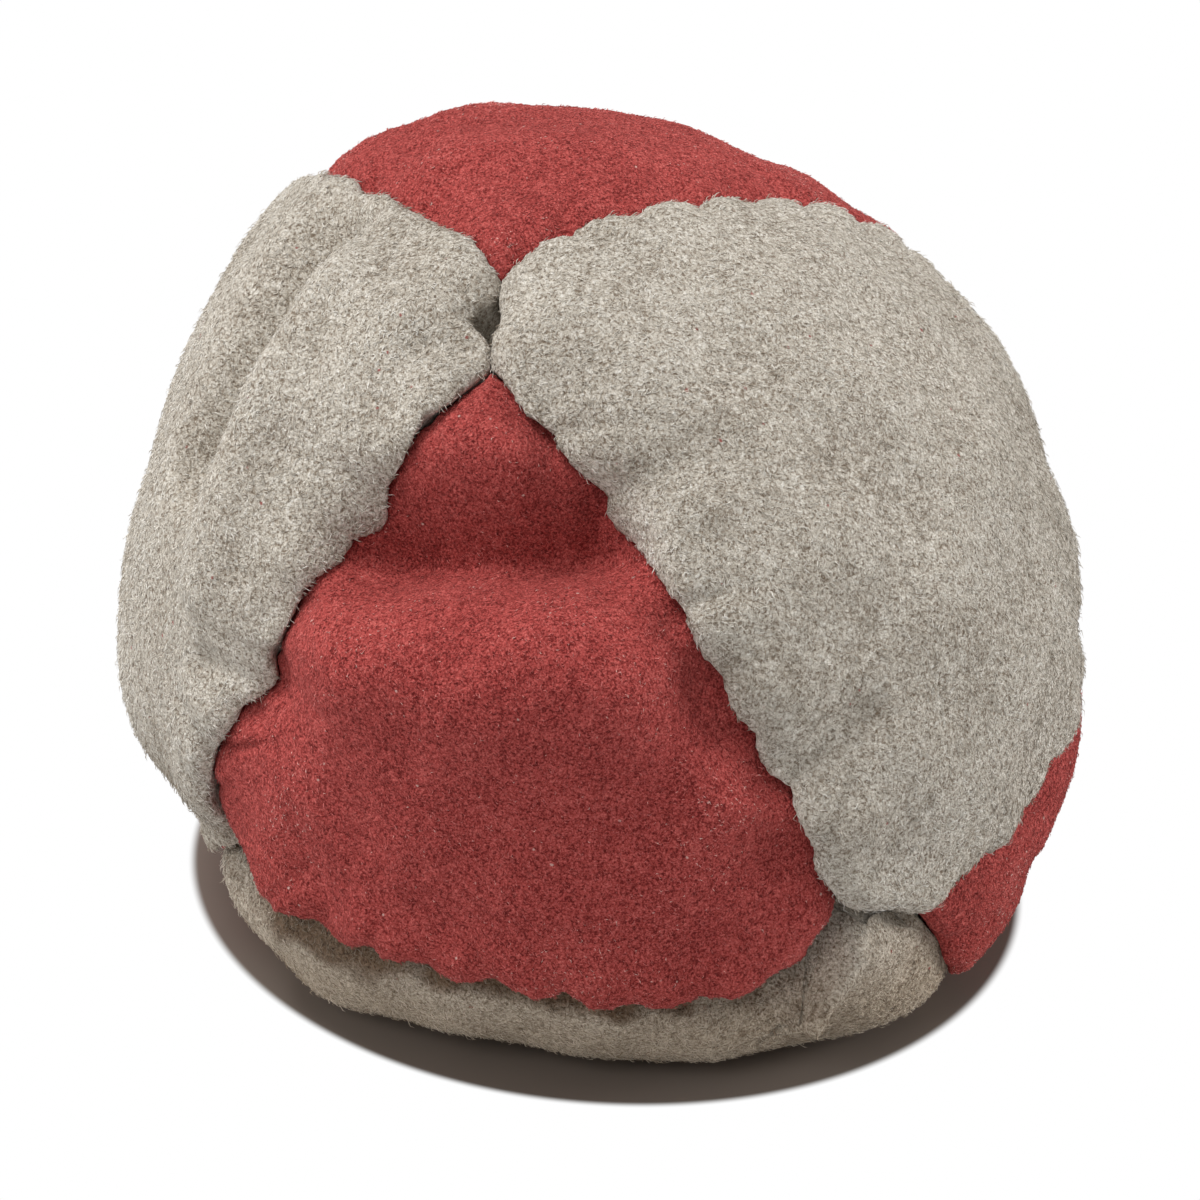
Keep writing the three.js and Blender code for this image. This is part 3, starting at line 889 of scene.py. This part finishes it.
def mark_painted_shade(mesh):
    """Keeps the painted shade under the lip at each point of a grey panel as an attribute, which its
    material reads.
    """
    painted_shade = painted_shade_at(points_of(mesh)).astype(np.float32)
    mesh.attributes.new("painted_shade", "FLOAT", "POINT").data.foreach_set("value", painted_shade)


# How much more suede a bulging triangle takes than a flat one.
bulging = 1.15


def cut_size(name):
    """The width, length and area in metres of the flat suede that a panel is cut from."""
    centre = panel_centre(panels[name][0])
    border = border_of(name)["toward"][::4]
    rings = [place(between(border, centre, share), 0) for share in np.linspace(0, 1, 12)]
    area = 0
    for outer, inner in zip(rings, rings[1:]):
        along, inward = np.roll(outer, -1, 0) - outer, inner - outer
        next_inward = np.roll(inner, -1, 0) - np.roll(outer, -1, 0)
        area += np.linalg.norm(np.cross(along, inward + next_inward), axis=1).sum() / 2
    around = length_of(np.concatenate([rings[0], rings[0][:1]]))
    tips = border[[0, len(border) // 3, 2 * len(border) // 3]]
    edges = [between(here, there, np.linspace(0, 1, 12)) for here, there in zip(tips, np.roll(tips, -1, 0))]
    width = max(length_of(place(edge, 0)) for edge in edges)
    length = 2 * area / width / bulging
    turned_in = seam_allowance + groove_depth
    width, length = (width + 2 * turned_in) * to_metres, (length + 2 * turned_in) * to_metres
    return width, length, (area + around * turned_in) * to_metres ** 2


suede = {}
for name, (names, red) in panels.items():
    suede[name] = build_panel(name)
    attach(suede[name], "root")
    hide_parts(name)
    suede[name].data.materials.append(red_suede if red else grey_suede)
    # Grey panels carry the painted shade under the lip.
    if not red:
        mark_painted_shade(suede[name].data)
    width, length, area = cut_size(name)


# The nap
# The brushed side of split suede stands up in short curled strands, longer on the grey than on the
# red. They lie matted over the panels and show one by one along the outline. The map named OFBake
# holds each strand's tone across and its length upward.
nap_counts = {True: 16500, False: 19500}
nap_lengths = {True: 0.32, False: 0.56}
nap_widths = {True: 0.045, False: 0.048}
nap_tones = 48
nap_way = np.array([0.7, -0.2, -0.7])
least_outward = 0.3

# How the strands differ. They turn away from the nap's way in broad swirls and one by one, a few stand up
# higher than the rest, and their tone is cloudy and darkened by painted shade under the lip.
swirl_pace = 1.5
swirl_turn = 0.5
single_turn = 0.7
length_range = (0.5, 1.4)
lift_range = (0.05, 0.4)
width_range = (0.6, 1.35)
curl_spread = 0.45
lying_share = 0.93
raised_lift = 0.4
tone_clouds = 0.12
tone_spread = 0.22
painted_shade_darkening = 0.55

# A strand's middle and tip, as shares of its length along its lie, its lift and its curl, and the
# corners on its map of the three sides below and of the faces that close it above.
strand_middle = (0.5, 0.45, 0.35)
strand_tip = (0.8, 0.5, -0.3)
strand_sunk = 0.05
strand_taper = 0.85
strand_above_table = 0.02
side_on_map = np.array([(0.1, 0.03), (0.9, 0.03), (0.9, 0.5), (0.1, 0.5)])
tip_on_map = np.array([(0.1, 0.5), (0.9, 0.5), (0.5, 0.97)])


def scatter(mesh, count, draw):
    """Random points on a panel's outer face, with their normals."""
    mesh.calc_loop_triangles()
    corners_of = np.empty(len(mesh.loop_triangles) * 3, np.int32)
    mesh.loop_triangles.foreach_get("vertices", corners_of)
    normals = np.empty(len(mesh.vertices) * 3, np.float32)
    mesh.vertex_normals.foreach_get("vector", normals)
    co, normals = points_of(mesh), normals.reshape(-1, 3)
    triangles = corners_of.reshape(-1, 3)
    first, second, third = (co[triangles[:, k]] for k in range(3))
    facing = np.cross(second - first, third - first)
    outward = unit(first - heart)
    area = np.linalg.norm(facing, axis=1)
    area = np.where(np.sum(facing * outward, 1) > least_outward * area, area, 0)
    chosen = draw.choice(len(area), count, p=area / area.sum())
    u, v = draw.random((2, count, 1))
    u, v = np.where(u + v > 1, 1 - u, u), np.where(u + v > 1, 1 - v, v)
    shares = (1 - u - v, u, v)
    root = sum(co[triangles[chosen, k]] * share for k, share in enumerate(shares))
    normal = sum(normals[triangles[chosen, k]] * share for k, share in enumerate(shares))
    return root, unit(normal)


def grow_nap(name):
    """The strands of one panel, each a thin bent spike of seven points."""
    red = panels[name][1]
    count = nap_counts[red]
    draw = np.random.default_rng(list(panels).index(name))
    root, normal = scatter(suede[name].data, count, draw)
    lie = unit(nap_way - normal * (normal @ nap_way)[:, None])
    swirl = swirl_turn * waves(root * swirl_pace, lump_waves)[:, None]
    swirl = swirl + draw.normal(0, single_turn, (count, 1))
    lie = lie * np.cos(swirl) + np.cross(normal, lie) * np.sin(swirl)
    across = np.cross(normal, lie)
    length = nap_lengths[red] * draw.uniform(*length_range, (count, 1))
    lift = draw.uniform(*lift_range, (count, 1))
    lift = lift + raised_lift * (draw.random((count, 1)) > lying_share)
    curl = draw.normal(0, curl_spread, (count, 1))
    radius = nap_widths[red] / 2 * draw.uniform(*width_range, (count, 1))
    middle, top = (
        root + length * (ahead * lie + up * lift * normal + aside * curl * across)
        for ahead, up, aside in (strand_middle, strand_tip)
    )
    upright = unit(normal - 0.4 * lie)
    points = []
    for centre, width in ((root - strand_sunk * normal, 1.0), (middle, strand_taper)):
        for angle in np.radians((0, 120, 240)):
            points.append(centre + radius * width * (across * np.cos(angle) + upright * np.sin(angle)))
    points = np.stack(points + [top], 1)
    points[..., 2] = np.maximum(points[..., 2], strand_above_table)
    first = (np.arange(count) * 7)[:, None]
    quads = np.concatenate([first + side for side in ([0, 1, 4, 3], [1, 2, 5, 4], [2, 0, 3, 5])])
    triangles = np.concatenate([first + side for side in ([3, 4, 6], [4, 5, 6], [5, 3, 6], [0, 2, 1])])
    piece = make_mesh(name.replace("_panel", "_nap"), [points.reshape(-1, 3)], [quads], [triangles])
    cloud = 0.5 + tone_clouds * waves(root, lump_waves) + draw.normal(0, tone_spread, count)
    # Strands under the lip are darkened by painted shade.
    if not red:
        cloud -= painted_shade_darkening * painted_shade_at(root)
    tone = np.floor(np.clip(cloud, 0, 0.999) * nap_tones)
    layer = piece.data.uv_layers.new(name="OFBake")
    spots = []
    for face in [side_on_map] * 3 + [tip_on_map] * 4:
        over, up = (tone[:, None] + face[:, 0]) / nap_tones, np.tile(face[:, 1], (count, 1))
        spots.append(np.stack([over, up], -1).reshape(-1, 2))
    layer.data.foreach_set("uv", np.concatenate(spots).astype(np.float32).ravel())
    return piece


def make_strand(name, stops, tone_shift, **shader_values):
    """A strand: its tone is read across the map, and it pales toward its tip."""
    material, tree, shader, spot = new_material(name, **shader_values)
    places = add_node(tree, "UVMap", uv_map="OFBake")
    apart = add_node(tree, "SeparateXYZ")
    join(tree, (places.outputs["UV"], apart.inputs[0]))
    tone = weigh(tree, [(apart.outputs["X"], 1.0), (apart.outputs["Y"], 0.22)], -0.1)
    rough = add_node(tree, "MapRange", {"To Min": 0.9, "To Max": 0.7})
    join(
        tree,
        (add_low_tint(tree, spot, add_ramp(tree, tone, stops), *tone_shift), shader.inputs["Base Color"]),
        (apart.outputs["Y"], rough.inputs["Value"]),
        (rough.outputs[0], shader.inputs["Roughness"]),
    )
    return material


red_tones = [
    (0.0, (0.22, 0.025, 0.022)),
    (0.5, (0.52, 0.09, 0.08)),
    (0.97, (0.7, 0.2, 0.18)),
    (1.0, (0.85, 0.6, 0.53)),
]
grey_tones = [(0.0, (0.28, 0.225, 0.165)), (0.5, (0.63, 0.575, 0.495)), (1.0, (0.88, 0.85, 0.79))]
red_strand = make_strand("red_strand", red_tones, red_low_tint)
grey_strand = make_strand("grey_strand", grey_tones, grey_low_tint)
for name, (names, red) in panels.items():
    nap = grow_nap(name)
    nap.data.materials.append(red_strand if red else grey_strand)
    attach(nap, "root")


# The thread
# Twelve lengths of waxed three-ply polyester, each a running stitch through the two turned-in
# allowances of one seam, with a short tail at both ends.
thread_tail = 1
thread_twist = 1.7
thread_sides = 12
ply_relief = 0.18
corner_turn = 0.45
path_step = 0.14


def beside(seam, share, aside):
    """A point at the height of the stitches, set aside from the seam to the left in mm."""
    shares = np.clip(share + np.array([-0.002, 0, 0.002]), 0, 1)
    toward = between(seam["start"], seam["end"], shares, seam["bends"])
    left = unit(np.cross(toward[1], toward[2] - toward[0]))
    return place(unit(toward[1] + left * aside / reach(toward[1])), stitch_depth)


def thread_route(seam):
    """The corners of the thread's way, in and out through the holes."""
    tail_share = thread_tail / seam["length"]
    stops, side = seam["stitch_shares"], 1
    corners_passed = [beside(seam, stops[0] - tail_share, side * thread_line)]
    for stop in stops:
        corners_passed.append(beside(seam, stop, side * thread_line))
        side = -side
        corners_passed.append(beside(seam, stop, side * thread_line))
    corners_passed.append(beside(seam, stops[-1] + tail_share, side * thread_line))
    return np.array(corners_passed)


def rounded(route):
    """The route with its corners rounded, as points a step apart, and the way gone to each."""
    path = [route[0]]
    for before, corner, following in zip(route, route[1:], route[2:]):
        first = corner + unit(before - corner) * min(corner_turn, np.linalg.norm(before - corner) / 2)
        last = corner + unit(following - corner) * min(corner_turn, np.linalg.norm(following - corner) / 2)
        for share in np.linspace(0, 1, 6):
            path.append((1 - share) ** 2 * first + 2 * share * (1 - share) * corner + share ** 2 * last)
    path.append(route[-1])
    path = np.array(path)
    gone = np.concatenate([[0], np.cumsum(np.linalg.norm(np.diff(path, axis=0), axis=1))])
    even = np.linspace(0, gone[-1], int(gone[-1] / path_step))
    return np.stack([np.interp(even, gone, path[:, axis]) for axis in range(3)], 1), even


def build_thread(ends, name):
    """One length of twisted thread, with three plies in its outline."""
    path, gone = rounded(thread_route(laid_out[ends]))
    way = unit(np.gradient(path, axis=0))
    outward = unit(path - heart)
    across = unit(np.cross(way, outward))
    outward = np.cross(across, way)
    around = np.linspace(0, 2 * np.pi, thread_sides, endpoint=False)
    turned = around + 2 * np.pi * gone[:, None] / thread_twist
    radius = thread_diameter / 2 * (1 - ply_relief + ply_relief * np.cos(3 * around))
    over, up = (np.cos(turned) * radius)[..., None], (np.sin(turned) * radius)[..., None]
    points = (path[:, None] + across[:, None] * over + outward[:, None] * up).reshape(-1, 3)
    rings = np.arange(len(points)).reshape(len(path), thread_sides)
    quads, _ = bands(list(rings))
    ends_of = []
    for last, number, flip in ((rings[0], len(points), -1), (rings[-1], len(points) + 1, 1)):
        ends_of.append(np.stack([last, np.roll(last, -1), np.full(thread_sides, number)], 1)[:, ::flip])
    return make_mesh(name, [points, path[[0, -1]]], quads, ends_of)


def make_thread_material():
    """Waxed polyester, a little dusty, with its filaments in the bump."""
    material, tree, shader, spot = new_material("thread", Roughness=0.55)
    filaments = add_node(tree, "TexNoise", {"Scale": 14.0, "Detail": 3.0})
    tone_shift = add_node(tree, "TexNoise", {"Scale": 0.8, "Detail": 3.0})
    bump = add_node(tree, "Bump", {"Distance": 0.04 * to_metres})
    join(tree, (spot, filaments.inputs["Vector"]), (spot, tone_shift.inputs["Vector"]))
    tone = weigh(tree, [(filaments.outputs["Fac"], 0.5), (tone_shift.outputs["Fac"], 0.5)])
    colour = add_ramp(tree, tone, [(0.3, (0.1, 0.014, 0.012)), (0.7, (0.33, 0.07, 0.06))])
    join(
        tree,
        (colour, shader.inputs["Base Color"]),
        (filaments.outputs["Fac"], bump.inputs["Height"]),
        (bump.outputs[0], shader.inputs["Normal"]),
    )
    return material


thread_material = make_thread_material()
for ends in seams:
    stitches = build_thread(ends, "_".join(ends) + "_stitches")
    stitches.data.materials.append(thread_material)
    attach(stitches, "root")
    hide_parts("_".join(ends) + "_thread")


# The sand
# Dry washed sand that fills the cover. It presses the lining outward between the seams and stops
# short of the turned-in edges and the thread.
sand_clearance = 0.35
merge_distance = 1e-6
sand_line = thread_line + thread_diameter / 2 + thread_clearance


def build_sand():
    """The fill as one closed body: rings under each panel, merged where the panels meet."""
    points, quads, triangles = [], [], []
    for name, (names, red) in panels.items():
        centre = panel_centre(names)
        border = {key: values[::4] for key, values in border_of(name).items()}
        insets = inset_shares(border["toward"], centre)
        rings = []
        near_share = insets * (sand_line + border["cut"])
        shares = [near_share * 0, near_share]
        shares += [near_share + (1 - near_share) * inward for inward in np.linspace(0, 1, 16)[:-1]]
        for number, share in enumerate(shares):
            toward = between(border["toward"], centre, share)
            distance = np.maximum(share / insets - border["cut"], 0)
            depth = cover_depth(border, red, toward, distance, suede_thickness + sand_clearance)
            if number < 2:
                depth = np.full(len(toward), edge_depth + sand_clearance)
            rings.append(np.arange(len(toward)) + sum(map(len, points)))
            points.append(place(toward, depth))
        found, _ = bands(rings)
        quads += found
        points.append(points[-1].mean(0)[None])
        last = rings[-1]
        triangles.append(np.stack([last, np.roll(last, -1), np.full(len(last), last[-1] + 1)], 1))
    sand = make_mesh("loose_sand", points, quads, triangles)
    whole = bmesh.new()
    whole.from_mesh(sand.data)
    bmesh.ops.remove_doubles(whole, verts=whole.verts, dist=merge_distance)
    whole.to_mesh(sand.data)
    whole.free()
    return sand


def make_sand_material():
    """Grains of quartz, pale, brown and a few dark, some of them glassy."""
    material, tree, shader, spot = new_material("sand")
    grains = add_node(tree, "TexVoronoi", {"Scale": 2.4})
    bump = add_node(tree, "Bump", {"Distance": 0.25 * to_metres}, invert=True)
    gloss = add_node(tree, "MapRange", {"To Min": 0.45, "To Max": 0.95})
    dark, brown = (0.0, (0.12, 0.08, 0.05)), (0.12, (0.38, 0.26, 0.14))
    tan, pale = (0.5, (0.52, 0.4, 0.25)), (1.0, (0.72, 0.6, 0.42))
    join(
        tree,
        (spot, grains.inputs["Vector"]),
        (add_ramp(tree, grains.outputs["Color"], [dark, brown, tan, pale]), shader.inputs["Base Color"]),
        (grains.outputs["Color"], gloss.inputs["Value"]),
        (gloss.outputs[0], shader.inputs["Roughness"]),
        (grains.outputs["Distance"], bump.inputs["Height"]),
        (bump.outputs[0], shader.inputs["Normal"]),
    )
    return material


sand = build_sand()
sand.data.materials.append(make_sand_material())
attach(sand, "root")
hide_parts("sand_fill")


# Studio
# A white table in a light tent, with a soft lamp above and others in front and at both sides. What the
# camera sees of the table is plain white outside a dense, nearly round oval under the bag, and inside it a
# painted shadow: a dark tone of its own, which the lamps shade further.
shadow_turn = np.radians(43)
shadow_reaches = (0.0242, 0.0221)
shadow_edge = 0.014
# The colour of the painted shadow, which only the camera sees.
shadow_tone = (0.205, 0.17, 0.145)
table_grey = (0.6, 0.6, 0.6)
tent_strength = 0.33


def add_seen(tree):
    """1 for the rays by which the camera sees a thing, straight or in gloss or glass, and 0 for others."""
    rays = add_node(tree, "LightPath")
    seen = rays.outputs["Is Camera Ray"]
    for kind in ("Is Glossy Ray", "Is Transmission Ray"):
        total = add_node(tree, "Math", operation="ADD", use_clamp=True)
        join(tree, (seen, total.inputs[0]), (rays.outputs[kind], total.inputs[1]))
        seen = total.outputs[0]
    return seen


def make_table():
    """Grey under the lamps, and for the camera white, with a painted shadow as an oval of its own dark tone.
    """
    paper = bpy.data.materials.new("paper")
    paper.use_nodes = True
    tree = paper.node_tree
    shader = tree.nodes["Principled BSDF"]
    shader.inputs["Roughness"].default_value = 1
    shader.inputs["Specular IOR Level"].default_value = 0
    spot = add_node(tree, "TexCoord")
    turned = add_node(tree, "VectorRotate", {"Angle": shadow_turn}, rotation_type="Z_AXIS")
    stretched = add_node(tree, "VectorMath", {1: (*shadow_reaches, 1)}, operation="DIVIDE")
    away = add_node(tree, "VectorMath", operation="LENGTH")
    outside = add_rise(tree, 1 - shadow_edge, 1 + shadow_edge)
    seen = add_seen(tree)
    plain = add_node(tree, "Math", operation="MULTIPLY")
    shade = add_node(tree, "Mix", {"A": (*table_grey, 1), "B": (*shadow_tone, 1)}, data_type="RGBA")
    white = add_node(tree, "Emission")
    choice = add_node(tree, "MixShader")
    join(
        tree,
        (spot.outputs["Object"], turned.inputs["Vector"]),
        (turned.outputs[0], stretched.inputs[0]),
        (stretched.outputs[0], away.inputs[0]),
        (away.outputs["Value"], outside.inputs["Value"]),
        (seen, plain.inputs[0]),
        (outside.outputs[0], plain.inputs[1]),
        (seen, shade.inputs["Factor"]),
        (shade.outputs["Result"], shader.inputs["Base Color"]),
        (plain.outputs[0], choice.inputs["Fac"]),
        (shader.outputs[0], choice.inputs[1]),
        (white.outputs[0], choice.inputs[2]),
        (choice.outputs[0], tree.nodes["Material Output"].inputs["Surface"]),
    )
    return paper


bpy.ops.mesh.primitive_plane_add(size=6, location=(0, 0, 0))
floor = bpy.context.active_object
floor.name = "floor"
floor.data.materials.append(make_table())


def make_tent():
    """White light from all sides, and plain white for the camera."""
    world = bpy.data.worlds.new("studio")
    world.use_nodes = True
    tree = world.node_tree
    tent = tree.nodes["Background"]
    tent.inputs["Color"].default_value = (1, 1, 1, 1)
    tent.inputs["Strength"].default_value = tent_strength
    backdrop = add_node(tree, "Background")
    choice = add_node(tree, "MixShader")
    join(
        tree,
        (add_seen(tree), choice.inputs["Fac"]),
        (tent.outputs[0], choice.inputs[1]),
        (backdrop.outputs[0], choice.inputs[2]),
        (choice.outputs[0], tree.nodes["World Output"].inputs["Surface"]),
    )
    return world


bpy.context.scene.world = make_tent()


def add_lamp(name, place_of, size, power):
    """A square soft lamp that faces the bag."""
    bpy.ops.object.light_add(type="AREA", location=place_of)
    lamp = bpy.context.active_object
    lamp.name = name
    lamp.data.size = size
    lamp.data.energy = power
    lamp.rotation_euler = Vector(place_of).to_track_quat("Z", "Y").to_euler()


add_lamp("top_lamp", (-0.164, -0.01, 0.451), 0.18, 1.64)
add_lamp("front_lamp", (-0.184, -0.318, 0.309), 0.15, 0.4)
add_lamp("left_lamp", (-0.454, 0.122, 0.1), 0.18, 0.6)
add_lamp("right_lamp", (0.462, 0.082, 0.1), 0.18, 1.48)

# The camera, with the width of what it sees at the bag.
view_elevation = np.radians(30.9)
camera_distance = 0.41
frame_width = 0.0662
sensor_width = 36
aim = np.array([-0.00023, 0, 0.0178])
back = np.array([0, -np.cos(view_elevation), np.sin(view_elevation)])
eye = aim + back * camera_distance
bpy.ops.object.camera_add(location=eye, rotation=(np.pi / 2 - view_elevation, 0, 0))
camera = bpy.context.active_object
camera.data.sensor_width = sensor_width
camera.data.lens = sensor_width * camera_distance / frame_width
camera.data.clip_start = 0.01
bpy.context.scene.camera = camera
bpy.context.scene.view_settings.view_transform = "Standard"
